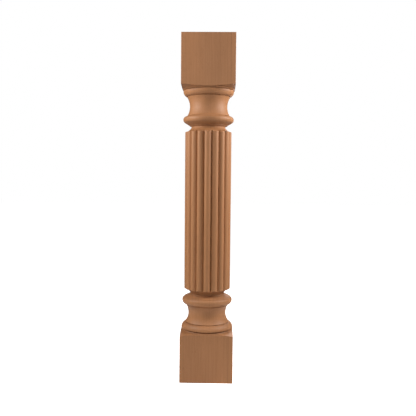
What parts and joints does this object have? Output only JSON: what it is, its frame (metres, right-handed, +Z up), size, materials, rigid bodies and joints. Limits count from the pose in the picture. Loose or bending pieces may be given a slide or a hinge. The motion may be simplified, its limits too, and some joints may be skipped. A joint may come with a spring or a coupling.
{
  "type": "island post",
  "caption": "Wooden kitchen island post, square at both ends, turned between them, with a straight reeded shaft.",
  "frame": {"origin": "centre of the underside, on the floor", "axes": "+Z up along the post from foot to head, -Y out of the front face that the picture shows, +X to that face's right"},
  "size_m": [0.138, 0.138, 0.8954],
  "materials": {
    "post_wood": "sanded bare wood, not yet varnished, with fine straight grain along the post"
  },
  "bodies": {
    "root": {"post": "post_wood"}
  },
  "joints": []
}
